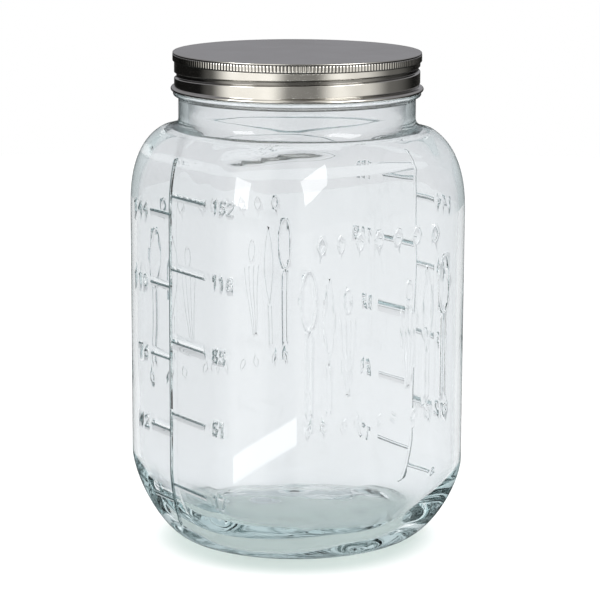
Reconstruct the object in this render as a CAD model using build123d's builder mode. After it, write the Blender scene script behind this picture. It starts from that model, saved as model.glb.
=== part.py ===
"""Large rounded-square glass storage jar with a one-piece steel screw lid.

Millimetres, +Z up, origin in the middle of the ring that the jar stands on.
The graduated faces look along -X and +X, the decorated faces along -Y and +Y.
"""
from build123d import *
import os
from math import cos, pi, radians, sin

# ---- whole object
overall_height = 285.0

# ---- jar body: a rounded square that draws in to a circle at heel and shoulder
body_half = 83.3
body_corner = 45.2
heel_height = 44.5
heel_power = 1.5
foot_radius = 70.4
shoulder_level = 192.4
shoulder_height = 51.4
shoulder_power = 2.4
shoulder_top = shoulder_level + shoulder_height
shoulder_top_radius = 62.6
profile_steps = 7

# ---- glass thickness
side_wall = 4.0
floor_level = 9.0
inner_foot_radius = 61.0
punt_radius = 57.0
punt_rise = 12.0
floor_dome_rise = 10.0
dome_root = 5.0

# ---- neck and screw finish
neck_radius = 69.1
neck_blend = 3.0
bore_radius = 63.4
bore_bottom = 218.0
collar_radius = 72.2
collar_bottom = 259.6
collar_top = 262.1
finish_radius = 68.5
rim_level = 283.1
rim_round = 1.6

# ---- screw thread, right-handed
thread_pitch = 10.0
groove_start_angle = 246.0
groove_start_level = 264.7
groove_turns = 1.25
glass_thread_turns = 1.05
glass_thread_above = 3.3
glass_thread_crest = 70.45

# ---- lid
sheet = 0.45
lid_bottom = 262.5
skirt_radius = 71.5
knurl_radius = 72.5
knurl_depth = 0.45
knurl_ribs = 222
knurl_bottom = 279.8
knurl_top = 283.9
top_edge_radius = 72.2
top_round = 1.1
panel_radius = top_edge_radius - top_round
curl_radius = 1.2
curl_centre_radius = 72.35
groove_depth = 1.3
groove_floor_width = 1.8
groove_mouth_width = 3.8

# ---- sealing ring
liner_inner_radius = 61.5
liner_outer_radius = 70.0
seal_gap = 0.1

# ---- raised marks on the glass
relief = 0.7
mark_width = 1.6
line_width = 1.0
scale_across = -5.5
scale_line_bottom = 12.0
scale_line_top = 226.0
first_tick_level = 36.8
litre_step = 42.36
long_tick = 36.0
short_tick = 21.7
digit_width = 4.0
digit_height = 6.0
digit_pitch = 5.6
long_number_gap = 9.0
short_number_gap = 4.0
upper_row_level = 186.0
upper_row_pitch = 13.0
lower_row_level = 82.5
lower_row_pitch = 12.0


def superellipse(power, angle):
    """Across and along shares, 0 to 1, of a superellipse quarter at an angle of 0 to 90 degrees."""
    across = cos(radians(angle)) ** (2 / power) if angle < 90 else 0.0
    along = sin(radians(angle)) ** (2 / power)
    return across, along


def plan(level, half, corner):
    """One horizontal section of the body."""
    with BuildSketch(Plane.XY.offset(level)) as section:
        RectangleRounded(2 * half, 2 * half, min(corner, half - 0.4))
    return section.sketch


def body_form(outset, bottom, foot, top, neck):
    """Heel, straight sides and shoulder, moved outwards by outset, joined to the part being built."""
    half = body_half + outset
    corner = body_corner + outset
    heel = []
    shoulder = []
    for step in range(profile_steps + 1):
        across, along = superellipse(heel_power, 90 * step / profile_steps)
        level = bottom + (heel_height - bottom) * (1 - across)
        heel.append(plan(level, foot + (half - foot) * along, foot + (corner - foot) * along))
        across, along = superellipse(shoulder_power, 90 * step / profile_steps)
        level = shoulder_level + (top - shoulder_level) * along
        shoulder.append(plan(level, neck + (half - neck) * across, neck + (corner - neck) * across))
    loft(heel)
    extrude(heel[-1], amount=shoulder_level - heel_height)
    loft(shoulder)


def dome(level, radius, rise):
    """A spherical cap standing on a level."""
    ball = (radius ** 2 + rise ** 2) / (2 * rise)
    with BuildSketch(Plane.XZ) as section:
        with BuildLine():
            Line((0, level - dome_root), (0, level + rise))
            RadiusArc((0, level + rise), (radius, level), ball)
            Line((radius, level), (radius, level - dome_root))
            Line((radius, level - dome_root), (0, level - dome_root))
        make_face()
    revolve(section.sketch, axis=Axis.Z)


def turned(angle, level):
    """A horizontal plane whose X axis points along an angle about the jar's axis."""
    return Plane(origin=(0, 0, level), x_dir=(cos(radians(angle)), sin(radians(angle)), 0), z_dir=(0, 0, 1))


def knurl_outline():
    """The toothed outline of the knurled band, one rib after another."""
    points = []
    for half_rib in range(2 * knurl_ribs):
        angle = pi * half_rib / knurl_ribs
        radius = knurl_radius - knurl_depth * (half_rib % 2)
        points.append((radius * cos(angle), radius * sin(angle)))
    return points


def helical_bar(angle, level, turns, inner, outer, inner_width, outer_width, mode=Mode.ADD):
    """A bar of trapezoidal section wound right-handed about the jar's axis."""
    with BuildLine(turned(angle, level)) as path:
        Helix(pitch=thread_pitch, height=thread_pitch * turns, radius=inner)
    start = path.line @ 0
    outward = Vector(start.X, start.Y, 0).normalized()
    along = path.line % 0
    with BuildSketch(Plane(origin=start, x_dir=outward, z_dir=along)) as section:
        depth = outer - inner
        with BuildLine():
            Polyline(
                (0, -inner_width / 2),
                (depth, -outer_width / 2),
                (depth, outer_width / 2),
                (0, inner_width / 2),
                close=True,
            )
        make_face()
    sweep(section.sketch, path=path.line, is_frenet=True, mode=mode)


# ---- numerals as strokes on a grid one wide and two high
digit_strokes = {
    "0": [[(0, 0.4), (0, 1.6), (0.4, 2), (0.6, 2), (1, 1.6), (1, 0.4), (0.6, 0), (0.4, 0), (0, 0.4)]],
    "1": [[(0.2, 1.6), (0.6, 2), (0.6, 0)]],
    "2": [[(0, 1.6), (0.4, 2), (0.7, 2), (1, 1.6), (1, 1.3), (0, 0), (1, 0)]],
    "4": [[(0.7, 0), (0.7, 2), (0, 0.6), (1, 0.6)]],
    "5": [[(1, 2), (0.1, 2), (0.1, 1.15), (0.7, 1.15), (1, 0.8), (1, 0.4), (0.6, 0), (0, 0)]],
    "6": [[(0.8, 2), (0.2, 1.4), (0, 0.8), (0, 0.4), (0.3, 0), (0.7, 0), (1, 0.4), (0.7, 1.1), (0.1, 1.1)]],
    "7": [[(0, 2), (1, 2), (0.4, 0)]],
    "8": [
        [(0.5, 1.1), (0.1, 1.4), (0.1, 1.7), (0.4, 2), (0.6, 2), (0.9, 1.7), (0.9, 1.4), (0.5, 1.1)],
        [(0.5, 1.1), (0, 0.7), (0, 0.3), (0.3, 0), (0.7, 0), (1, 0.3), (1, 0.7), (0.5, 1.1)],
    ],
}
long_numbers = ["17", "51", "85", "118", "152"]
short_numbers = ["8", "42", "76", "110", "144"]


def stroke(points, width=mark_width):
    """One raised line through points given as across and up, joined to the sketch being drawn."""
    with BuildLine() as outline:
        Polyline(*points)
    trace(outline.line, line_width=width)


def number(text, left, bottom):
    """A numeral whose first digit has its lower left corner at left, bottom."""
    for place, digit in enumerate(text):
        for outline in digit_strokes[digit]:
            x = left + place * digit_pitch
            stroke([(x + u * digit_width, bottom + v * digit_height / 2) for u, v in outline])


def bud(across, low, high, half_width):
    """A raised closed outline of six straight sides between two levels, joined to the sketch being drawn."""
    waist = (high - low) / 4
    right = [(across, high), (across + half_width, high - waist), (across + half_width, low + waist)]
    left = [(across, low), (across - half_width, low + waist), (across - half_width, high - waist)]
    stroke(right + left + [(across, high)], line_width)


def leaf(half_width, half_height):
    """A raised pointed leaf, joined to the sketch being drawn."""
    Polygon((0, -half_height), (half_width, 0), (0, half_height), (-half_width, 0), align=None)


def number_width(text):
    return (len(text) - 1) * digit_pitch + digit_width


# ---- shapes that the jar is made with
with BuildPart() as cavity:
    body_form(-side_wall, floor_level, inner_foot_radius, shoulder_top - side_wall, 58.0)
    with BuildSketch(Plane.XY.offset(bore_bottom)):
        Circle(bore_radius)
    extrude(amount=overall_height - bore_bottom)

with BuildPart() as floor_dome:
    dome(floor_level, punt_radius, floor_dome_rise)

with BuildPart() as punt:
    dome(0, punt_radius, punt_rise)

seen_from_left = Plane(origin=(0, -scale_across, 0), x_dir=(0, -1, 0), z_dir=(-1, 0, 0))
with BuildPart() as scale_marks:
    body_form(relief, -relief, foot_radius, shoulder_top + relief, shoulder_top_radius)
    with BuildSketch(seen_from_left) as scale_drawing:
        stroke([(0, scale_line_bottom), (0, scale_line_top)])
        for step, (long_text, short_text) in enumerate(zip(long_numbers, short_numbers)):
            level = first_tick_level + step * litre_step
            stroke([(0, level), (long_tick, level)])
            number(long_text, long_tick + long_number_gap, level - digit_height / 2)
            lower = level - litre_step / 4
            stroke([(-short_tick, lower), (0, lower)])
            short_left = -short_tick - short_number_gap - number_width(short_text)
            number(short_text, short_left, lower - digit_height / 2)
    extrude(amount=2 * body_half, mode=Mode.INTERSECT)

seen_from_front = Plane.XZ
with BuildPart() as decoration:
    body_form(relief, -relief, foot_radius, shoulder_top + relief, shoulder_top_radius)
    with BuildSketch(seen_from_front) as decoration_drawing:
        for side in (-1, 1):
            bud(side * 47, 139, 173, 4.6)
            stroke([(side * 47, 92), (side * 47, 138)], line_width)
            bud(side * 34, 118, 168, 3.4)
            stroke([(side * 34, 92), (side * 34, 117)], line_width)
            bud(side * 21, 146, 160, 2.4)
            for lean in (-5.5, 0, 5.5):
                stroke([(side * 21 + lean * 0.25, 100), (side * 21 + lean, 142)], line_width)
        with Locations((0, upper_row_level)):
            with GridLocations(upper_row_pitch, 1, 7, 1):
                leaf(2.6, 5)
        with Locations((0, lower_row_level)):
            with GridLocations(lower_row_pitch, 1, 9, 1):
                leaf(1.7, 3.5)
    extrude(amount=2 * body_half, mode=Mode.INTERSECT)

# ---- the glass jar
with BuildPart() as glass_jar:
    body_form(0, 0, foot_radius, shoulder_top, shoulder_top_radius)
    with BuildSketch(Plane.XZ) as neck_profile:
        neck_root = shoulder_top - 8
        with BuildLine():
            Polyline(
                (0, neck_root),
                (neck_radius, neck_root),
                (neck_radius, collar_bottom),
                (collar_radius - 0.6, collar_bottom),
                (collar_radius, collar_bottom + 0.6),
                (collar_radius, collar_top - 0.8),
                (collar_radius - 1.2, collar_top),
                (finish_radius, collar_top),
                (finish_radius, rim_level - rim_round),
                (finish_radius - rim_round, rim_level),
                (0, rim_level),
                close=True,
            )
        make_face()
    revolve()
    neck_joint = glass_jar.edges().filter_by_position(Axis.Z, shoulder_top - 4, shoulder_top + 4)
    fillet(neck_joint, neck_blend)
    helical_bar(
        groove_start_angle + 30,
        groove_start_level + thread_pitch * 30 / 360 + glass_thread_above,
        glass_thread_turns,
        finish_radius - 0.4,
        glass_thread_crest,
        4.2,
        1.6,
    )
    add(scale_marks.part)
    add(scale_marks.part, rotation=(0, 0, 180))
    add(decoration.part)
    add(decoration.part, rotation=(0, 0, 180))
    add(cavity.part - floor_dome.part, mode=Mode.SUBTRACT)
    add(punt.part, mode=Mode.SUBTRACT)

glass_jar.part.label = "glass_jar"

# ---- shapes that the lid's steel shell is made with
with BuildPart() as lid_outside:
    with BuildSketch(Plane.XY.offset(knurl_bottom)) as knurled_band:
        Polygon(*knurl_outline(), align=None)
    extrude(amount=knurl_top - knurl_bottom)
    with BuildSketch(Plane.XZ) as cap_profile:
        curl_level = lid_bottom + curl_radius
        with BuildLine():
            Line((0, curl_level), (skirt_radius, curl_level))
            Line((skirt_radius, curl_level), (skirt_radius, knurl_bottom))
            Line((skirt_radius, knurl_bottom), (top_edge_radius, knurl_top))
            RadiusArc((top_edge_radius, knurl_top), (panel_radius, overall_height), -top_round)
            Line((panel_radius, overall_height), (0, overall_height))
            Line((0, overall_height), (0, curl_level))
        make_face()
        with Locations((curl_centre_radius, curl_level)):
            Circle(curl_radius)
    revolve()
    helical_bar(
        groove_start_angle,
        groove_start_level,
        groove_turns,
        skirt_radius - groove_depth,
        skirt_radius + 0.3,
        groove_floor_width,
        groove_mouth_width,
        Mode.SUBTRACT,
    )

with BuildPart() as lid_inside:
    with BuildSketch(Plane.XY.offset(lid_bottom - 5)) as inner_bore:
        Circle(skirt_radius - sheet)
    extrude(amount=overall_height - sheet - lid_bottom + 5)
    helical_bar(
        groove_start_angle,
        groove_start_level,
        groove_turns,
        skirt_radius - groove_depth - sheet,
        skirt_radius,
        groove_floor_width + 2 * sheet,
        groove_mouth_width + 2 * sheet,
        Mode.SUBTRACT,
    )

# ---- the lid's steel shell
with BuildPart() as lid_shell:
    add(lid_outside.part)
    add(lid_inside.part, mode=Mode.SUBTRACT)
lid_shell.part.label = "lid_shell"

# ---- the sealing ring under the lid's panel
with BuildPart() as lid_liner:
    with BuildSketch(Plane.XY.offset(rim_level + seal_gap)) as ring:
        Circle(liner_outer_radius)
        Circle(liner_inner_radius, mode=Mode.SUBTRACT)
    extrude(amount=overall_height - sheet - rim_level - 2 * seal_gap)
    fillet(lid_liner.edges().filter_by(GeomType.CIRCLE), radius=0.3)
lid_liner.part.label = "lid_liner"

os.makedirs("parts", exist_ok=True)
export_step(glass_jar.part, "parts/glass_jar.step")
export_step(lid_shell.part, "parts/lid_shell.step")
export_step(lid_liner.part, "parts/lid_liner.step")
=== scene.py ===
"""The glass coin jar as it looks: pressed clear glass with raised fill scales, and a satin steel screw lid.

Sizes are in millimetres, in the CAD frame, and become metres where a mesh is made.
"""
import math

import bpy
import numpy as np
from mathutils import Matrix, Vector, noise


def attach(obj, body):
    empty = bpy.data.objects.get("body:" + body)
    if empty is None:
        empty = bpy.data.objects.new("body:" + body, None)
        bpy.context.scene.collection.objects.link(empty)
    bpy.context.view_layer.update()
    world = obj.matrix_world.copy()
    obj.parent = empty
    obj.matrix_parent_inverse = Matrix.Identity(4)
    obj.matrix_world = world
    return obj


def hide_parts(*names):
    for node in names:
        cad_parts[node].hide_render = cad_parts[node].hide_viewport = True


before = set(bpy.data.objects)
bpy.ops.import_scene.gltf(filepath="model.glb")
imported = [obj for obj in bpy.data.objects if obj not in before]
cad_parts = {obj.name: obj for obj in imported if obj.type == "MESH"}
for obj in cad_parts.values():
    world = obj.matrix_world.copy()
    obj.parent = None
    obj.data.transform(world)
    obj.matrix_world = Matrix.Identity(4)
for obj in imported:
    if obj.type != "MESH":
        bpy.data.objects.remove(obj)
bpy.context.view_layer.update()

MM = 0.001

# ---- the jar's body, as in the CAD
BODY_HALF = 83.3
BODY_CORNER = 45.2
HEEL_HEIGHT = 44.5
HEEL_POWER = 1.5
FOOT_RADIUS = 70.4
SHOULDER_LEVEL = 192.4
SHOULDER_TOP = 243.8
SHOULDER_POWER = 2.4
SHOULDER_TOP_RADIUS = 62.6
SIDE_WALL = 4.0
FLOOR_LEVEL = 9.0
INNER_FOOT_RADIUS = 61.0
PUNT_RADIUS = 57.0
PUNT_RISE = 12.0
FLOOR_DOME_RISE = 10.0

# ---- the fold inside the shoulder
FOLD_START = 204.0
FOLD_LENGTH = 58.0
FOLD_LEVEL = 230.0
FOLD_RISE = 5.5
FOLD_WIDTH = 2.4
FOLD_DEPTH = -3.6

# ---- neck, collar, finish
NECK_RADIUS = 69.1
NECK_BLEND = 3.0
BORE_RADIUS = 63.4
BORE_BLEND = 9
COLLAR_RADIUS = 72.2
COLLAR_BOTTOM = 259.6
COLLAR_TOP = 262.1
FINISH_RADIUS = 68.5
RIM_LEVEL = 283.1
RIM_ROUND = 1.6

# ---- screw thread
GROOVE_START = 226.0
GROOVE_START_LEVEL = 263.9
GROOVE_RISE = 11.9
GROOVE_EASE = 0.4
GROOVE_TURNS = 1.31
GLASS_THREAD_LAG = 30.0
GLASS_THREAD_ABOVE = 3.3
GLASS_THREAD_TURNS = 1.05
GLASS_THREAD_CREST = 70.45
THREAD_FADE = 14

# ---- lid
OVERALL = 285.0
SHEET = 0.45
LID_BOTTOM = 262.5
SKIRT_RADIUS = 71.5
KNURL_RIBS = 222
CURL_RADIUS = 1.2
CURL_CENTRE = 72.35
GROOVE_DEPTH = 1.3
KNURL_RADIUS = 72.25
KNURL_RELIEF = 0.2
KNURL_GAP_RADIUS = 71.55
LINER_INNER_RADIUS = 61.5
LINER_OUTER_RADIUS = 70.0
LINER_PLAY = 0.1

# ---- raised marks
RELIEF = 0.68
MARK_WIDTH = 3.0
TICK_WIDTH = 1.4
TICK_RELIEF = 0.55
LINE_RELIEF = 0.2
LINE_WIDTH = 1.0
FIRST_TICK = 36.8
LITRE_STEP = 42.36
SCALE_ACROSS = -5.5
LONG_TICK = 36.0
LONG_NUMBER_GAP = 9.0
SHORT_TICK = 21.7
SHORT_NUMBER_GAP = 4.0
# heights up a mark where the painted shade on its edges starts and is full, and how strong that painted shade
# is on the +X half
RAISED_FROM, RAISED_TO = 0.21, 0.32
FAINTER_MARK_SHADE = 0.55
RIDGE_SPACING = 0.9

# ---- unevenness of the inner wall: size of the waves, then their depth
WALL_WAVE = (34.0, 0.35)
FLOOR_WAVE = (21.0, 3.6)
SHOULDER_WAVE = (21.0, 0.9)

# ---- the camera
VIEW_AZIMUTH = -34.08
VIEW_PITCH = 11.335
VIEW_DISTANCE = 1513.9
VIEW_TARGET_LEVEL = 137.75
VIEW_RIGHT = 2.2
VIEW_LENS = 153.6
VIEW_ROLL = 0.25

FLOOR_RADIUS = 1600
FLOOR_GAP = -0.2
SHADE_CENTRE = (-11, -16)
SHADE_FROM, SHADE_TO = 64, 92
LIGHT_AIM_LEVEL = 215

SIDES = 288
LIGHT_BOUNCES = 32


# ================================================================ mesh helpers
def make_object(name, vertices, faces, smooth=True):
    """A new object from points in millimetres."""
    mesh = bpy.data.meshes.new(name)
    mesh.from_pydata([tuple(v) for v in np.asarray(vertices, float) * MM], [], faces)
    mesh.update()
    if smooth:
        mesh.shade_smooth()
    piece = bpy.data.objects.new(name, mesh)
    bpy.context.collection.objects.link(piece)
    return piece


def stitch(lower, upper, faces):
    """Faces between two rings of vertex numbers, which are equally many or three times as many in one."""
    n, m = len(lower), len(upper)
    if n == m:
        for i in range(n):
            j = (i + 1) % n
            faces.append((lower[i], lower[j], upper[j], upper[i]))
        return
    flip = n < m
    fine, coarse = (upper, lower) if flip else (lower, upper)
    for i in range(len(coarse)):
        a, b = coarse[i], coarse[(i + 1) % len(coarse)]
        p = [fine[(3 * i + k) % len(fine)] for k in range(4)]
        made = [(a, p[1], p[0]), (a, b, p[2], p[1]), (b, p[3], p[2])]
        for face in made:
            faces.append(face if flip else tuple(reversed(face)))


def rings_to_mesh(rings, start_point, end_point):
    """Closed mesh from rings of points, with a fan to a centre point at each end that has one."""
    vertices, numbers, faces = [], [], []
    for ring in rings:
        numbers.append(list(range(len(vertices), len(vertices) + len(ring))))
        vertices.extend(ring)
    for lower, upper in zip(numbers, numbers[1:]):
        stitch(lower, upper, faces)
    for point, ring, turn in ((start_point, numbers[0], False), (end_point, numbers[-1], True)):
        if point is None:
            continue
        vertices.append(point)
        for i in range(len(ring)):
            edge = (ring[(i + 1) % len(ring)], ring[i])
            faces.append((len(vertices) - 1,) + (edge if not turn else edge[::-1]))
    if start_point is None and end_point is None:
        stitch(numbers[-1], numbers[0], faces)
    return vertices, faces


def smooth_step(x, low, high):
    t = np.clip((x - low) / (high - low), 0.0, 1.0)
    return t * t * (3 - 2 * t)


def arc(centre_r, centre_z, radius, start, end, count):
    """Points (radius, level) along a circular arc, angles in degrees from +r towards +z."""
    return [
        (centre_r + radius * math.cos(math.radians(a)), centre_z + radius * math.sin(math.radians(a)))
        for a in np.linspace(start, end, count)
    ]


# ================================================================ the jar's surface
def section_radius(phi, half, corner):
    """Distance from the axis to a rounded square's outline in direction phi."""
    p = np.abs(((phi + math.pi / 4) % (math.pi / 2)) - math.pi / 4)
    flat = half - corner
    cos_p, sin_p = np.cos(p), np.sin(p)
    middle = flat * (cos_p + sin_p)
    round_part = middle + np.sqrt(np.maximum(middle**2 - (2 * flat * flat - corner * corner), 0))
    return np.where(half * np.tan(p) <= flat, half / cos_p, round_part)


def body_section(level):
    """Half width and corner radius of the outer body at a level."""
    if level < HEEL_HEIGHT:
        rise = max(1 - level / HEEL_HEIGHT, 0.0)
        u = math.acos(min(rise ** (HEEL_POWER / 2), 1.0))
        k = math.sin(u) ** (2 / HEEL_POWER)
        return FOOT_RADIUS + (BODY_HALF - FOOT_RADIUS) * k, FOOT_RADIUS + (BODY_CORNER - FOOT_RADIUS) * k
    if level > SHOULDER_LEVEL:
        along = min((level - SHOULDER_LEVEL) / (SHOULDER_TOP - SHOULDER_LEVEL), 1.0)
        k = (1 - along**SHOULDER_POWER) ** (1 / SHOULDER_POWER)
        top = SHOULDER_TOP_RADIUS
        return top + (BODY_HALF - top) * k, top + (BODY_CORNER - top) * k
    return BODY_HALF, BODY_CORNER


def heel_rows(half, corner, height, bottom, foot, count):
    """Level, half width and corner radius down the heel's curve, from its foot to the straight wall."""
    rows = []
    for angle in np.linspace(0, 90, count):
        u = math.radians(angle)
        k = math.sin(u) ** (2 / HEEL_POWER)
        level = bottom + (height - bottom) * (1 - math.cos(u) ** (2 / HEEL_POWER))
        rows.append((level, foot + (half - foot) * k, foot + (corner - foot) * k))
    return rows


def shoulder_rows(half, corner, start, top, neck, count, stop):
    """Level, half width and corner radius up the shoulder's curve, as far as the stop in degrees."""
    rows = []
    for angle in np.linspace(0, stop, count):
        u = math.radians(angle)
        k = math.cos(u) ** (2 / SHOULDER_POWER)
        level = start + (top - start) * math.sin(u) ** (2 / SHOULDER_POWER)
        rows.append((level, neck + (half - neck) * k, neck + (corner - neck) * k))
    return rows


def ring_points(radii, levels, phi):
    return np.stack([radii * np.cos(phi), radii * np.sin(phi), levels + 0 * phi], -1)


def groove_level(along):
    """Level of the groove's middle, by degrees from its start; it runs in and out flatter than its pitch."""
    share = along / (360 * GROOVE_TURNS)
    flatter = GROOVE_EASE * np.sin(2 * math.pi * share) / (2 * math.pi)
    return GROOVE_START_LEVEL + GROOVE_RISE * (share - flatter)


def thread_bulge(phi, level, start, turns, half_base, half_crest):
    """Height of the thread, 0 to 1, at each direction phi in degrees and at the level given."""
    best = np.zeros_like(phi)
    late = start - GROOVE_START
    for lap in range(3):
        along = (phi - start) % 360 + 360 * lap
        distance = np.abs(level - groove_level(along + late))
        end = 360 * turns
        fade = smooth_step(along, 0, THREAD_FADE) * (1 - smooth_step(along, end - THREAD_FADE, end))
        best = np.maximum(best, fade * (1 - smooth_step(distance, half_crest, half_base)))
    return best


def wall_wave(points, size, depth):
    """Slow unevenness of the pressed inner wall."""
    return np.array([noise.noise(Vector(p) / size) * depth for p in points])


def shoulder_fold(ring):
    """A fold that the press left inside the shoulder, low at one end and high at the other."""
    turn = (np.degrees(np.arctan2(ring[:, 1], ring[:, 0])) - FOLD_START) % 360 / FOLD_LENGTH
    middle = FOLD_LEVEL + FOLD_RISE * smooth_step(turn, 0, 0.6)
    window = smooth_step(turn, 0, 0.15) * (1 - smooth_step(turn, 0.55, 1.0))
    return FOLD_DEPTH * window * np.exp(-(((ring[:, 2] - middle) / FOLD_WIDTH) ** 2))


def outer_rings(phi):
    rings = []
    degrees = np.degrees(phi) % 360
    ball = (PUNT_RADIUS**2 + PUNT_RISE**2) / (2 * PUNT_RISE)
    for r in np.linspace(5, PUNT_RADIUS - 3, 12):
        rings.append(ring_points(r, PUNT_RISE - ball + math.sqrt(ball**2 - r**2), phi))
    foot_ring = [(PUNT_RADIUS - 1.2, 0.75), (PUNT_RADIUS + 0.8, 0.25), (PUNT_RADIUS + 3, 0.03), (64.5, 0.0)]
    for r, level in foot_ring:
        rings.append(ring_points(r, level, phi))
    for level, half, corner in heel_rows(BODY_HALF, BODY_CORNER, HEEL_HEIGHT, 0, FOOT_RADIUS, 20):
        rings.append(ring_points(section_radius(phi, half, corner), level, phi))
    for level in np.linspace(HEEL_HEIGHT, SHOULDER_LEVEL, 26)[1:-1]:
        rings.append(ring_points(section_radius(phi, BODY_HALF, BODY_CORNER), level, phi))
    for level, half, corner in shoulder_rows(
        BODY_HALF, BODY_CORNER, SHOULDER_LEVEL, SHOULDER_TOP, SHOULDER_TOP_RADIUS, 26, 78
    ):
        radii = section_radius(phi, half, corner)
        if radii.min() < NECK_RADIUS + NECK_BLEND:
            break
        rings.append(ring_points(radii, level, phi))
    last = rings[-1]
    last_r = np.hypot(last[:, 0], last[:, 1])
    for t in np.linspace(0, 1, 7)[1:]:
        a = t * math.pi / 2
        radii = NECK_RADIUS + (last_r - NECK_RADIUS) * (1 - math.sin(a))
        levels = last[:, 2] + (SHOULDER_TOP + NECK_BLEND - 0.6 - last[:, 2]) * (1 - math.cos(a))
        rings.append(ring_points(radii, levels, phi))
    neck_and_collar = [(NECK_RADIUS, level) for level in (250.0, 254.0, 257.5)]
    neck_and_collar += [(NECK_RADIUS + 0.1, 259.0)]
    neck_and_collar += arc(COLLAR_RADIUS - 1.25, COLLAR_BOTTOM + 1.3, 1.25, -90, 80, 8)
    neck_and_collar += [(FINISH_RADIUS + 0.8, COLLAR_TOP + 0.1), (FINISH_RADIUS + 0.1, COLLAR_TOP + 0.7)]
    for r, level in neck_and_collar:
        rings.append(ring_points(r, level, phi))
    for level in np.arange(COLLAR_TOP + 1.3, RIM_LEVEL - RIM_ROUND, 0.55):
        start = GROOVE_START + GLASS_THREAD_LAG
        lift = thread_bulge(degrees, level - GLASS_THREAD_ABOVE, start, GLASS_THREAD_TURNS, 2.1, 0.5)
        rings.append(ring_points(FINISH_RADIUS + (GLASS_THREAD_CREST - FINISH_RADIUS) * lift, level, phi))
    for r, level in arc(FINISH_RADIUS - RIM_ROUND, RIM_LEVEL - RIM_ROUND, RIM_ROUND, 0, 90, 6):
        rings.append(ring_points(r, level, phi))
    return rings


def inner_rings(phi):
    rings = []
    for r, level in arc(BORE_RADIUS + RIM_ROUND, RIM_LEVEL - RIM_ROUND, RIM_ROUND, 90, 180, 6):
        rings.append(ring_points(r, level, phi))
    for level in np.linspace(RIM_LEVEL - RIM_ROUND - 4, 246, 8):
        rings.append(ring_points(BORE_RADIUS, level, phi))
    rows = shoulder_rows(
        BODY_HALF - SIDE_WALL, BODY_CORNER - SIDE_WALL, SHOULDER_LEVEL, SHOULDER_TOP - SIDE_WALL, 58.0, 24, 88
    )
    for level, half, corner in reversed(rows):
        radii = section_radius(phi, half, corner)
        radii = (radii**BORE_BLEND + BORE_RADIUS**BORE_BLEND) ** (1 / BORE_BLEND) if level > 225 else radii
        rings.append(ring_points(radii, level, phi))
    half, corner = BODY_HALF - SIDE_WALL, BODY_CORNER - SIDE_WALL
    for level in np.linspace(SHOULDER_LEVEL, HEEL_HEIGHT, 26)[1:-1]:
        rings.append(ring_points(section_radius(phi, half, corner), level, phi))
    for level, half, corner in reversed(
        heel_rows(half, corner, HEEL_HEIGHT, FLOOR_LEVEL, INNER_FOOT_RADIUS, 18)
    ):
        rings.append(ring_points(section_radius(phi, half, corner), level, phi))
    ball = (PUNT_RADIUS**2 + FLOOR_DOME_RISE**2) / (2 * FLOOR_DOME_RISE)
    for r in np.linspace(PUNT_RADIUS, 4, 16):
        rings.append(ring_points(r, FLOOR_LEVEL + FLOOR_DOME_RISE - ball + math.sqrt(ball**2 - r**2), phi))
    waved = []
    for ring in rings:
        level = ring[0][2]
        low = 1 - smooth_step(level, 25, 60)
        high = 1 - smooth_step(level, 225, 245)
        ring_wave = smooth_step(level, 214, 228) * (1 - smooth_step(level, 238, 246))
        near_axis = 1 - smooth_step(np.hypot(ring[0][0], ring[0][1]), 46, 62)
        size, depth = WALL_WAVE
        shift = wall_wave(ring, size, depth * high)
        size, depth = FLOOR_WAVE
        shift = shift + wall_wave(ring + 200, size, low * depth * near_axis)
        size, depth = SHOULDER_WAVE
        shift = shift + wall_wave(ring + 400, size, depth * ring_wave) + shoulder_fold(ring)
        out = ring / np.maximum(np.linalg.norm(ring[:, :2], axis=1), 1)[:, None]
        out[:, 2] = 0
        steep = smooth_step(level, 12, 30)
        ring = ring + out * (shift * steep)[:, None]
        ring[:, 2] += shift * (1 - steep)
        waved.append(ring)
    return waved


def build_jar():
    phi = np.linspace(0, 2 * math.pi, SIDES, endpoint=False)
    rings = outer_rings(phi) + inner_rings(phi)
    vertices, faces = rings_to_mesh(
        rings, np.array([0, 0, PUNT_RISE]), np.array([0, 0, FLOOR_LEVEL + FLOOR_DOME_RISE])
    )
    return make_object("glass_jar_body", vertices, faces)


# ================================================================ raised marks on the glass
def wall_point(face, across, level):
    """A point on the outer wall.

    The face is its normal's direction in degrees, and across runs to the right as seen from outside.
    """
    half, corner = body_section(level)
    flat = half - corner
    reach = abs(across)
    if reach <= flat:
        x, y = reach, half
    else:
        bend = (reach - flat) / corner
        x, y = flat + corner * math.sin(bend), flat + corner * math.cos(bend)
    x = math.copysign(x, across)
    a = math.radians(face)
    return Vector((y * math.cos(a) - x * math.sin(a), y * math.sin(a) + x * math.cos(a), level))


def wall_normal(face, across, level):
    right = wall_point(face, across + 0.2, level) - wall_point(face, across - 0.2, level)
    up = wall_point(face, across, level + 0.2) - wall_point(face, across, level - 0.2)
    return right.cross(up).normalized()


def resample(points, spacing, closed):
    """Evenly spaced points along a polyline."""
    points = [Vector((p[0], p[1])) for p in points]
    if closed:
        points.append(points[0])
    lengths = [(b - a).length for a, b in zip(points, points[1:])]
    total = sum(lengths)
    count = max(int(math.ceil(total / spacing)), 2)
    made = []
    for i in range(count + 1 - closed):
        want = total * i / count
        for a, b, length in zip(points, points[1:], lengths):
            if want <= length + 1e-9:
                made.append(a.lerp(b, want / length if length else 0))
                break
            want -= length
    return made


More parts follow.
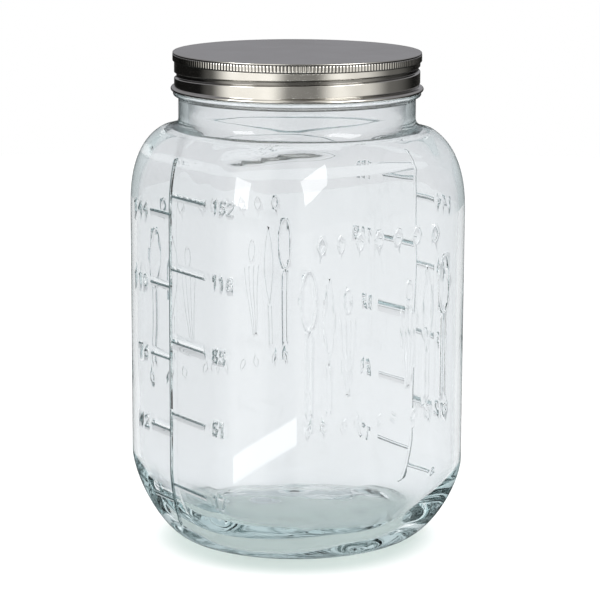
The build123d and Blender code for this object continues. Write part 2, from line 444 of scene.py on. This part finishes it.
def ridge(face, points, width, relief, closed, vertices, faces):
    """Adds a rounded glass ridge along points given as (across, level); a low one also has a soft toe."""
    toe = 1 if relief > LINE_RELIEF else 2
    path = resample(points, RIDGE_SPACING, closed)
    count = len(path)
    places = [wall_point(face, p.x, p.y) for p in path]
    normals = [wall_normal(face, p.x, p.y) for p in path]
    around = 10
    rings = []

    def section(place, normal, along, scale):
        side = normal.cross(along).normalized()
        ring = []
        for k in range(around):
            a = 2 * math.pi * k / around
            ring.append(
                place
                + side * (width / 2 * scale * math.cos(a))
                + normal * scale * (relief * math.sin(a) ** toe if math.sin(a) > 0 else 0.5 * math.sin(a))
            )
        return ring

    for i in range(count):
        before = places[i - 1] if closed or i else places[i]
        after = places[(i + 1) % count] if closed or i < count - 1 else places[i]
        along = (after - before).normalized()
        if not closed and i == 0:
            rings.append(section(places[i] - along * width * 0.42, normals[i], along, 0.45))
            rings.append(section(places[i] - along * width * 0.25, normals[i], along, 0.85))
        rings.append(section(places[i], normals[i], along, 1.0))
        if not closed and i == count - 1:
            rings.append(section(places[i] + along * width * 0.25, normals[i], along, 0.85))
            rings.append(section(places[i] + along * width * 0.42, normals[i], along, 0.45))
    first = len(vertices)
    for ring in rings:
        vertices.extend(ring)
    spans = len(rings) if closed else len(rings) - 1
    for i in range(spans):
        j = (i + 1) % len(rings)
        for k in range(around):
            n = (k + 1) % around
            faces.append(tuple(first + at * around + to for at, to in ((i, k), (i, n), (j, n), (j, k))))
    if not closed:
        faces.append(tuple(first + k for k in reversed(range(around))))
        faces.append(tuple(first + (len(rings) - 1) * around + k for k in range(around)))


def circle_points(cx, cy, rx, ry, start, end, count):
    return [
        (cx + rx * math.cos(math.radians(a)), cy + ry * math.sin(math.radians(a)))
        for a in np.linspace(start, end, count)
    ]


# numerals as strokes on a grid one wide and two high; a stroke is (points, closed)
OVAL = [(0.5 + 0.5 * math.cos(a), 1 + math.sin(a)) for a in np.linspace(0, 2 * math.pi, 13)[:-1]]
DIGITS = {
    "0": [(OVAL, True)],
    "1": [([(0.15, 1.6), (0.55, 2), (0.55, 0)], False)],
    "2": [(circle_points(0.5, 1.5, 0.5, 0.5, 170, -25, 7) + [(0, 0), (1, 0)], False)],
    "4": [([(0.72, 0), (0.72, 2), (0, 0.6), (0.5, 0.6)], False)],
    "5": [([(0.95, 2), (0.2, 2), (0.12, 1.15)] + circle_points(0.45, 0.65, 0.52, 0.62, 100, -140, 8), False)],
    "6": [([(0.8, 2), (0.3, 1.35)] + circle_points(0.5, 0.6, 0.5, 0.6, 165, 500, 10), False)],
    "7": [([(0, 2), (1, 2), (0.35, 0)], False)],
    "8": [
        (circle_points(0.5, 1.5, 0.4, 0.47, -90, 250, 10)[:-1], True),
        (circle_points(0.5, 0.5, 0.5, 0.5, 90, 430, 11)[:-1], True),
    ],
}
LONG_NUMBERS = ("17", "51", "85", "118", "152")
SHORT_NUMBERS = ("8", "42", "76", "110", "144")
DIGIT_WIDTH, DIGIT_HEIGHT, DIGIT_PITCH, DIGIT_STROKE = 4.1, 6.8, 6.0, 0.95


def scale_marks(face, layers):
    """The fill scale: a line up the face, long and short marks, and their numerals."""

    def add(points, width=TICK_WIDTH, relief=TICK_RELIEF, closed=False, layer=0):
        moved = [(across + SCALE_ACROSS, level) for across, level in points]
        ridge(face, moved, width, relief, closed, *layers[layer])

    def numeral(text, left, bottom):
        for place, digit in enumerate(text):
            x = left + place * DIGIT_PITCH
            for layer, (outline, closed) in enumerate(DIGITS[digit]):
                shape = [(x + u * DIGIT_WIDTH, bottom + v * DIGIT_HEIGHT / 2) for u, v in outline]
                add(shape, DIGIT_STROKE, TICK_RELIEF, closed, layer)

    add([(0, 12), (0, 226)], MARK_WIDTH, RELIEF)
    for step in range(5):
        level = FIRST_TICK + step * LITRE_STEP
        add([(0.2, level), (LONG_TICK, level)], layer=1)
        numeral(LONG_NUMBERS[step], LONG_TICK + LONG_NUMBER_GAP, level - DIGIT_HEIGHT / 2)
        lower = level - LITRE_STEP / 4
        add([(-SHORT_TICK, lower), (-0.2, lower)], layer=1)
        width = (len(SHORT_NUMBERS[step]) - 1) * DIGIT_PITCH + DIGIT_WIDTH
        numeral(SHORT_NUMBERS[step], -SHORT_TICK - SHORT_NUMBER_GAP - width, lower - DIGIT_HEIGHT / 2)


def leaf(cx, cy, length, width, turn):
    """A closed leaf outline from its stem end, turned in degrees."""
    points = []
    for side in (1, -1):
        for t in np.linspace(0, 1, 6)[:-1]:
            s = t if side == 1 else 1 - t
            points.append((length * s, side * width * math.sin(math.pi * s)))
    cos_a, sin_a = math.cos(math.radians(turn)), math.sin(math.radians(turn))
    return [(cx + x * cos_a - y * sin_a, cy + x * sin_a + y * cos_a) for x, y in points]


def decoration(face, layers):
    """Plain buds and reeds on thin stems, with a row of leaves above and below."""

    def add(points, closed=False):
        ridge(face, points, LINE_WIDTH, LINE_RELIEF, closed, *layers[0])

    def bud(across, low, high, half_width):
        outline = circle_points(across, (low + high) / 2, half_width, (high - low) / 2, 0, 360, 25)
        add(outline[:-1], True)

    def stem(across, low, high, gap):
        for side in (-1, 1):
            add([(across + side * gap / 2, low), (across + side * gap / 2, high)])

    for side in (-1, 1):
        bud(side * 47, 139, 173, 4.6)
        stem(side * 47, 92, 137, 3.4)
        add(leaf(side * 34, 118, 50, 3.4, 90), True)
        stem(side * 34, 92, 116, 2.6)
        for lean in (-5.5, -1.9, 1.9, 5.5):
            add([(side * 21 + lean * 0.25, 100), (side * 21 + lean, 142)])
        bud(side * 21, 146, 160, 2.4)
    for k in range(7):
        add(leaf(-39 + 13 * k, 181, 10, 2.6, 90), True)
    for k in range(9):
        add(leaf(-48 + 12 * k, 79, 7, 1.7, 70 + 40 * (k % 2)), True)


def union(base, vertices, faces, name):
    """Joins a closed mesh to the base object as one skin."""
    tool = make_object(name, vertices, faces)
    cut = base.modifiers.new("join", "BOOLEAN")
    cut.operation = "UNION"
    cut.solver = "MANIFOLD"
    cut.object = tool
    graph = bpy.context.evaluated_depsgraph_get()
    mesh = bpy.data.meshes.new_from_object(base.evaluated_get(graph))
    base.modifiers.remove(cut)
    base.data = mesh
    bpy.data.objects.remove(tool)


def add_marks(jar):
    layers = [([], []), ([], [])]
    for face in (180, 0):
        scale_marks(face, layers)
    for face in (-90, 90):
        decoration(face, layers)
    for vertices, faces in layers:
        union(jar, vertices, faces, "marks")


def note_mark_painted_shade(jar):
    """Keeps on each vertex how far it is up a scale mark, 0 to 1, which sets the painted shade on the marks'
    edges; it is less on the +X half, where that painted shade is fainter.
    """
    mesh = jar.data
    points = np.empty(3 * len(mesh.vertices))
    mesh.vertices.foreach_get("co", points)
    points = points.reshape(-1, 3) / MM
    reach = np.hypot(points[:, 0], points[:, 1])
    turn = np.arctan2(points[:, 1], points[:, 0])
    sections = np.array([body_section(level) for level in points[:, 2]])
    height = reach - section_radius(turn, sections[:, 0], sections[:, 1])
    on_body = (points[:, 2] > 5) & (points[:, 2] < 232)
    # painted shade on the marks: full on the -X half, fainter on the same marks of the +X half
    mark_shade_strength = np.where(points[:, 0] < 0, 1.0, FAINTER_MARK_SHADE)
    raised = np.where(on_body, mark_shade_strength * smooth_step(height, RAISED_FROM, RAISED_TO), 0.0)
    mesh.attributes.new("raised", "FLOAT", "POINT").data.foreach_set("value", raised)


# ================================================================ materials
# the glass: its colour, its painted shade seen edge on, and the two limits of the grazing share between them;
# the same for a darker painted shade on the neck, with the levels where it comes in, and on the scale marks;
# then its absorption colour and density
GLASS_TINT = (0.85, 0.86, 0.873)
GLASS_RIM_PAINTED_SHADE = (0.48, 0.54, 0.55)
GLASS_RIM_FACING = (0.76, 1.0)
GLASS_NECK_PAINTED_SHADE = (0.10, 0.11, 0.115)
GLASS_NECK_FACING = (0.35, 0.9)
GLASS_NECK_LEVELS = (245, 250)
GLASS_MARK_PAINTED_SHADE = (0.02, 0.04, 0.042)
GLASS_MARK_FACING = (0.2, 0.5)
GLASS_DEPTH_TINT = (0.58, 0.85, 0.87)
GLASS_DENSITY = 2.6

# the steel and the sealing ring: darker and lighter tone, and the painted shade in the steel's hollows
STEEL_TONES = ((0.66, 0.64, 0.60), (0.76, 0.745, 0.71))
STEEL_PAINTED_SHADE = (0.05, 0.048, 0.045)
LINER_TONES = ((0.74, 0.72, 0.66), (0.84, 0.82, 0.77))


def principled(name, **values):
    material = bpy.data.materials.new(name)
    material.use_nodes = True
    shader = material.node_tree.nodes["Principled BSDF"]
    for key, value in values.items():
        shader.inputs[key.replace("_", " ")].default_value = value
    return material, material.node_tree, shader


def link(tree, output, target):
    tree.links.new(output, target)


def math_node(tree, operation, *values):
    node = tree.nodes.new("ShaderNodeMath")
    node.operation = operation
    for socket, value in zip(node.inputs, values):
        if isinstance(value, (int, float)):
            socket.default_value = value
        else:
            link(tree, value, socket)
    return node.outputs[0]


def share_between(tree, value, low, high):
    node = tree.nodes.new("ShaderNodeMapRange")
    node.interpolation_type = "SMOOTHSTEP"
    node.inputs["From Min"].default_value = low
    node.inputs["From Max"].default_value = high
    link(tree, value, node.inputs["Value"])
    return node.outputs["Result"]


def between(tree, value, low, high, edge):
    """1 from low to high, with soft edges."""
    rising = share_between(tree, value, low - edge, low + edge)
    falling = share_between(tree, value, high + edge, high - edge)
    return math_node(tree, "MULTIPLY", rising, falling)


def mixed(tree, share, first, second):
    node = tree.nodes.new("ShaderNodeMix")
    node.data_type = "RGBA"
    for name, value in (("Factor", share), ("A", first), ("B", second)):
        if isinstance(value, tuple):
            node.inputs[name].default_value = value + (1,)
        else:
            link(tree, value, node.inputs[name])
    return node.outputs["Result"]


def object_place(tree):
    """The three coordinates in the piece's own space."""
    place = tree.nodes.new("ShaderNodeTexCoord")
    split = tree.nodes.new("ShaderNodeSeparateXYZ")
    link(tree, place.outputs["Object"], split.inputs["Vector"])
    return split.outputs


def distance_from(tree, centre_x, centre_y):
    """Distance from an upright line, in metres."""
    x, y = object_place(tree)[:2]
    x = math_node(tree, "SUBTRACT", x, centre_x * MM)
    y = math_node(tree, "SUBTRACT", y, centre_y * MM)
    squares = math_node(tree, "ADD", math_node(tree, "MULTIPLY", x, x), math_node(tree, "MULTIPLY", y, y))
    return math_node(tree, "SQRT", squares)


def glass_material():
    """Pressed soda glass: nearly clear, greener where it is deep, with a painted shade where it is seen edge
    on, darker on the neck and on the scale marks.
    """
    material, tree, shader = principled("clear_glass", Roughness=0.0, IOR=1.5, Transmission_Weight=1.0)
    nodes = tree.nodes
    grazing = nodes.new("ShaderNodeLayerWeight")
    grazing.inputs["Blend"].default_value = 0.5
    facing = grazing.outputs["Facing"]
    raised = nodes.new("ShaderNodeAttribute")
    raised.attribute_name = "raised"
    neck = share_between(tree, object_place(tree)[2], *(level * MM for level in GLASS_NECK_LEVELS))
    rim = share_between(tree, facing, *GLASS_RIM_FACING)
    neck_edge = math_node(tree, "MULTIPLY", share_between(tree, facing, *GLASS_NECK_FACING), neck)
    steep = share_between(tree, facing, *GLASS_MARK_FACING)
    mark_edge = math_node(tree, "MULTIPLY", raised.outputs["Fac"], steep)
    # painted shade: the glass colour darkens where it is seen edge on, more on the neck and on the flanks of
    # the scale marks
    colour = mixed(tree, rim, GLASS_TINT, GLASS_RIM_PAINTED_SHADE)
    colour = mixed(tree, neck_edge, colour, GLASS_NECK_PAINTED_SHADE)
    colour = mixed(tree, mark_edge, colour, GLASS_MARK_PAINTED_SHADE)
    link(tree, colour, shader.inputs["Base Color"])
    absorb = nodes.new("ShaderNodeVolumeAbsorption")
    absorb.inputs["Color"].default_value = GLASS_DEPTH_TINT + (1,)
    absorb.inputs["Density"].default_value = GLASS_DENSITY
    link(tree, absorb.outputs[0], nodes["Material Output"].inputs["Volume"])
    return material


def stretched_noise(tree, scale, stretch, detail):
    """Noise in the piece's own space, drawn out by the stretch along each axis."""
    place = tree.nodes.new("ShaderNodeTexCoord")
    mapping = tree.nodes.new("ShaderNodeMapping")
    mapping.inputs["Scale"].default_value = stretch
    pattern = tree.nodes.new("ShaderNodeTexNoise")
    pattern.inputs["Scale"].default_value = scale
    pattern.inputs["Detail"].default_value = detail
    link(tree, place.outputs["Object"], mapping.inputs["Vector"])
    link(tree, mapping.outputs["Vector"], pattern.inputs["Vector"])
    return pattern.outputs["Fac"]


def spread(tree, value, low, high):
    """Noise, which mostly lies between 0.3 and 0.7, spread from low to high."""
    node = tree.nodes.new("ShaderNodeMapRange")
    node.inputs["From Min"].default_value = 0.3
    node.inputs["From Max"].default_value = 0.7
    node.inputs["To Min"].default_value = low
    node.inputs["To Max"].default_value = high
    link(tree, value, node.inputs["Value"])
    return node.outputs["Result"]


def add_bump(tree, shader, height, strength, distance):
    node = tree.nodes.new("ShaderNodeBump")
    node.inputs["Strength"].default_value = strength
    node.inputs["Distance"].default_value = distance
    link(tree, height, node.inputs["Height"])
    link(tree, node.outputs["Normal"], shader.inputs["Normal"])


def lid_painted_shade_mask(tree):
    """0 in the lid's hollows, which get a painted shade, and 1 on the rest.

    The hollows are the gaps between the knurl's ribs and the thread groove.
    """
    level = object_place(tree)[2]
    radius = distance_from(tree, 0, 0)
    ribs = share_between(tree, radius, 72.27 * MM, 72.35 * MM)
    groove = share_between(tree, radius, 69.6 * MM, 71.2 * MM)
    above = share_between(tree, level, 283.95 * MM, 284.15 * MM)
    knurled = share_between(tree, level, 279.5 * MM, 279.8 * MM)
    skirt = math_node(tree, "MULTIPLY", groove, math_node(tree, "SUBTRACT", 1.0, knurled))
    band = math_node(tree, "MULTIPLY", ribs, knurled)
    return math_node(tree, "MAXIMUM", math_node(tree, "ADD", skirt, band), above)


def steel_material():
    """Satin tinplate: drawn round the skirt, so its fine lines run level, with a faint warm unevenness."""
    material, tree, shader = principled("satin_steel", Metallic=1.0)
    lines = stretched_noise(tree, 1.0, (30, 30, 5200), 3.0)
    cloud = stretched_noise(tree, 45.0, (1, 1, 1), 4.0)
    tone = mixed(tree, spread(tree, cloud, 0.0, 1.0), *STEEL_TONES)
    # painted shade: near black in the knurl's gaps and in the thread groove
    link(tree, mixed(tree, lid_painted_shade_mask(tree), STEEL_PAINTED_SHADE, tone), shader.inputs["Base Color"])
    link(tree, spread(tree, lines, 0.07, 0.13), shader.inputs["Roughness"])
    add_bump(tree, shader, lines, 0.05, 0.0002)
    return material


def liner_material():
    """Soft off-white sealing compound."""
    material, tree, shader = principled("sealing_ring", Roughness=0.55)
    cloud = stretched_noise(tree, 180.0, (1, 1, 1), 5.0)
    tone = mixed(tree, spread(tree, cloud, 0.0, 1.0), *LINER_TONES)
    link(tree, tone, shader.inputs["Base Color"])
    add_bump(tree, shader, cloud, 0.2, 0.0004)
    return material


# ================================================================ the lid
def build_lid():
    """Outer skin, hem and inner skin as one closed sheet."""
    fine = 6 * KNURL_RIBS
    coarse = 2 * KNURL_RIBS
    rings = []

    def ring(count, radius, level, relief=0.0):
        phi = np.linspace(0, 2 * math.pi, count, endpoint=False)
        radii = radius + 0 * phi
        if relief:
            from_gap = np.abs((KNURL_RIBS * phi / math.pi + 1) % 2 - 1)
            radii = radii + relief * np.minimum(1.4 * from_gap, 1)
        rings.append(ring_points(radii, level, phi))

    def skirt_ring(level, radius, deeper):
        phi = np.linspace(0, 2 * math.pi, coarse, endpoint=False)
        turn = np.degrees(phi) % 360
        dip = thread_bulge(turn, level, GROOVE_START, GROOVE_TURNS, 1.8 + deeper, 0.7 + deeper)
        rings.append(ring_points(radius - GROOVE_DEPTH * dip, level, phi))

    for radius in (12, 30, 48, 60, 67, 70.2, 71.2):
        ring(coarse, radius, OVERALL)
    for radius, level in arc(71.85, OVERALL - 0.5, 0.5, 80, -50, 8):
        ring(coarse, radius, level)
    ring(coarse, KNURL_GAP_RADIUS + 0.05, 284.02)
    ring(fine, KNURL_GAP_RADIUS, 283.9)
    ring(fine, KNURL_RADIUS, 283.75, 0.6 * KNURL_RELIEF)
    for level in (283.5, 282.4, 281.4, 280.3):
        ring(fine, KNURL_RADIUS, level, KNURL_RELIEF)
    ring(fine, KNURL_RADIUS, 280.0, 0.6 * KNURL_RELIEF)
    ring(fine, KNURL_GAP_RADIUS + 0.05, 279.75)
    ring(coarse, KNURL_GAP_RADIUS, 279.5)
    for level in np.arange(279.2, 265.0, -0.15):
        skirt_ring(level, SKIRT_RADIUS, 0.0)
    for radius, level in arc(CURL_CENTRE, LID_BOTTOM + CURL_RADIUS, CURL_RADIUS, 125, -180, 16):
        ring(coarse, radius, level)
    inside = SKIRT_RADIUS - SHEET
    for level in np.arange(265.0, 279.2, 0.3):
        skirt_ring(level, inside, SHEET)
    for radius, level in arc(inside - 1.2, OVERALL - SHEET - 1.2, 1.2, 0, 90, 5):
        ring(coarse, radius, level)
    for radius in (60, 40, 15):
        ring(coarse, radius, OVERALL - SHEET)
    rings.reverse()
    vertices, faces = rings_to_mesh(rings, np.array([0, 0, OVERALL - SHEET]), np.array([0, 0, OVERALL]))
    return make_object("lid_steel_shell", vertices, faces)


def build_liner():
    """A flat ring between the lid's panel and the rim of the glass, with a shallow channel underneath."""
    inner, outer = LINER_INNER_RADIUS, LINER_OUTER_RADIUS
    low, high = RIM_LEVEL + LINER_PLAY, OVERALL - SHEET - LINER_PLAY
    middle = (low + high) / 2
    phi = np.linspace(0, 2 * math.pi, 180, endpoint=False)
    outline = [(outer - 0.5, high), (outer, middle), (outer - 0.5, low), (66.5, low), (64.8, low + 0.25)]
    outline += [(63.2, low), (inner + 0.5, low), (inner, middle), (inner + 0.5, high)]
    rings = [ring_points(r, z, phi) for r, z in reversed(outline)]
    vertices, faces = rings_to_mesh(rings, None, None)
    return make_object("lid_sealing_ring", vertices, faces)


# ================================================================ stage
def turned_by_view(x, y, z):
    a = math.radians(VIEW_AZIMUTH)
    return Vector((x * math.cos(a) - y * math.sin(a), x * math.sin(a) + y * math.cos(a), z))


def make_camera():
    camera = bpy.data.objects.new("camera", bpy.data.cameras.new("camera"))
    bpy.context.collection.objects.link(camera)
    pitch = math.radians(VIEW_PITCH)
    place = turned_by_view(
        VIEW_RIGHT, -VIEW_DISTANCE * math.cos(pitch), VIEW_TARGET_LEVEL + VIEW_DISTANCE * math.sin(pitch)
    )
    camera.location = place * MM
    ahead = turned_by_view(0, math.cos(pitch), -math.sin(pitch))
    turn = ahead.to_track_quat("-Z", "Y").to_matrix().to_4x4()
    camera.rotation_euler = (turn @ Matrix.Rotation(math.radians(VIEW_ROLL), 4, "Z")).to_euler()
    camera.data.lens = VIEW_LENS
    camera.data.sensor_width = 36
    camera.data.clip_end = 20
    bpy.context.scene.camera = camera


def make_floor():
    """A plain pale floor that glows a little, with a painted pale green shade under the front of the jar."""
    phi = np.linspace(0, 2 * math.pi, 96, endpoint=False)
    points = [(FLOOR_RADIUS * math.cos(a), FLOOR_RADIUS * math.sin(a), FLOOR_GAP) for a in phi]
    floor = make_object("floor", points, [tuple(range(len(points)))], smooth=False)
    floor.visible_glossy = False
    material, tree, shader = principled("floor", Roughness=1.0, Emission_Strength=0.42)
    outside = share_between(tree, distance_from(tree, *SHADE_CENTRE), SHADE_FROM * MM, SHADE_TO * MM)
    link(tree, mixed(tree, outside, (0.58, 0.69, 0.65), (1.0, 1.0, 0.99)), shader.inputs["Emission Color"])
    link(tree, mixed(tree, outside, (0.395, 0.435, 0.42), (0.62, 0.63, 0.63)), shader.inputs["Base Color"])
    floor.data.materials.append(material)


def ramp(tree, value, stops):
    """A smooth colour by value; stops are (place 0..1, colour)."""
    node = tree.nodes.new("ShaderNodeValToRGB")
    node.color_ramp.interpolation = "EASE"
    while len(node.color_ramp.elements) < len(stops):
        node.color_ramp.elements.new(0.5)
    for element, (place, colour) in zip(node.color_ramp.elements, stops):
        element.position = place
        element.color = colour + (1,)
    link(tree, value, node.inputs["Fac"])
    return node.outputs["Color"]


# what polished surfaces reflect, by turn from the camera's side: degrees to the right, and how bright
STUDIO_SIDES = (
    (-180, 0.06),
    (-150, 0.008),
    (-104, 0.008),
    (-88, 0.10),
    (-62, 1.25),
    (-26, 1.30),
    (-6, 0.30),
    (16, 0.26),
    (38, 1.25),
    (62, 0.95),
    (98, 0.16),
    (140, 0.01),
    (180, 0.06),
)

# long white cards low in front of the jar: from and to, in degrees to the right, then lowest and highest rise
LOW_CARDS = ((-68, 28, -0.256, -0.2456),)
LOW_CARD_LEAN = 0.009


def make_world():
    """White all round; what is mirrored is a studio with soft bright walls, dark gaps and a grey ceiling.

    Mirrored inside the glass, the studio is paler.
    """
    world = bpy.data.worlds.new("studio")
    bpy.context.scene.world = world
    world.use_nodes = True
    tree = world.node_tree
    direction = tree.nodes.new("ShaderNodeTexCoord").outputs["Generated"]
    turn = tree.nodes.new("ShaderNodeMapping")
    turn.vector_type = "VECTOR"
    turn.inputs["Rotation"].default_value = (0, 0, -math.radians(VIEW_AZIMUTH))
    link(tree, direction, turn.inputs["Vector"])
    split = tree.nodes.new("ShaderNodeSeparateXYZ")
    link(tree, turn.outputs["Vector"], split.inputs["Vector"])
    across, away, height = split.outputs
    azimuth = math_node(tree, "ARCTAN2", across, math_node(tree, "MULTIPLY", away, -1.0))
    place = math_node(tree, "MULTIPLY_ADD", azimuth, 1 / (2 * math.pi), 0.5)
    warm = (1.0, 0.985, 0.94)
    sides = ramp(
        tree, place, [((turn + 180) / 360, tuple(level * c for c in warm)) for turn, level in STUDIO_SIDES]
    )
    before = share_between(tree, math_node(tree, "MULTIPLY", away, -1.0), 0.0, 0.3)
    above = mixed(tree, before, (0.30, 0.30, 0.32), sides)
    below = (0.05, 0.055, 0.055)
    low = mixed(tree, share_between(tree, height, -0.62, -0.30), below, sides)
    for start, end, bottom, top in LOW_CARDS:
        inside = between(tree, azimuth, math.radians(start), math.radians(end), 0.01)
        leaning = math_node(tree, "MULTIPLY_ADD", azimuth, -LOW_CARD_LEAN, height)
        inside = math_node(tree, "MULTIPLY", inside, between(tree, leaning, bottom, top, 0.001))
        low = mixed(tree, inside, low, (5.0, 5.0, 5.0))
    studio = mixed(tree, share_between(tree, height, 0.0, 0.10), low, above)
    path = tree.nodes.new("ShaderNodeLightPath")
    mirrored = math_node(tree, "GREATER_THAN", path.outputs["Glossy Depth"], 0.5)
    plain = math_node(tree, "LESS_THAN", path.outputs["Diffuse Depth"], 0.5)
    background = tree.nodes["Background"]
    inside_glass = math_node(tree, "GREATER_THAN", path.outputs["Transmission Depth"], 0.5)
    softer = mixed(tree, math_node(tree, "MULTIPLY", inside_glass, 0.82), studio, (0.88, 0.95, 0.955))
    shown = mixed(tree, math_node(tree, "MULTIPLY", mirrored, plain), (1.0, 1.0, 1.0), softer)
    link(tree, shown, background.inputs["Color"])


# name, degrees to the right, degrees up, tilt, distance, width, height in metres, brightness
SOFTBOXES = (
    ("softbox_right", 47, 20, 14, 1.7, 0.92, 0.80, 5.0),
    ("softbox_left", -53, 16, 0, 1.7, 0.64, 0.76, 5.0),
)


def make_softbox(name, turn, height, tilt, distance, width, tall, radiance):
    """A rectangular studio light, turned from the camera's side and aimed at the jar.

    It is not seen by the camera or through the glass.
    """
    light = bpy.data.lights.new(name, "AREA")
    light.shape = "RECTANGLE"
    light.size = width
    light.size_y = tall
    light.energy = radiance * math.pi * width * tall
    lamp = bpy.data.objects.new(name, light)
    bpy.context.collection.objects.link(lamp)
    t, e = math.radians(turn), math.radians(height)
    outward = turned_by_view(math.sin(t) * math.cos(e), -math.cos(t) * math.cos(e), math.sin(e))
    lamp.location = outward * distance + Vector((0, 0, LIGHT_AIM_LEVEL * MM))
    facing = outward.to_track_quat("Z", "Y").to_matrix().to_4x4()
    lamp.rotation_euler = (facing @ Matrix.Rotation(math.radians(tilt), 4, "Z")).to_euler()
    lamp.visible_camera = False
    lamp.visible_transmission = False


# ================================================================ the whole
jar = build_jar()
add_marks(jar)
note_mark_painted_shade(jar)
jar.name = "clear_glass_jar"
jar.data.materials.clear()
jar.data.materials.append(glass_material())
jar.visible_shadow = False
lid = build_lid()
lid.data.materials.append(steel_material())
liner = build_liner()
liner.data.materials.append(liner_material())

for piece, body, node, slot in (
    (jar, "jar", "glass_jar", "glass"),
    (lid, "lid", "lid_shell", "lid_steel"),
    (liner, "lid_seal", "lid_liner", "liner"),
):
    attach(piece, body)
    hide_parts(node)

make_floor()
make_world()
for softbox in SOFTBOXES:
    make_softbox(*softbox)
make_camera()
bpy.context.scene.view_settings.view_transform = "Standard"
for kind in ("max_bounces", "glossy_bounces", "transmission_bounces"):
    setattr(bpy.context.scene.cycles, kind, LIGHT_BOUNCES)
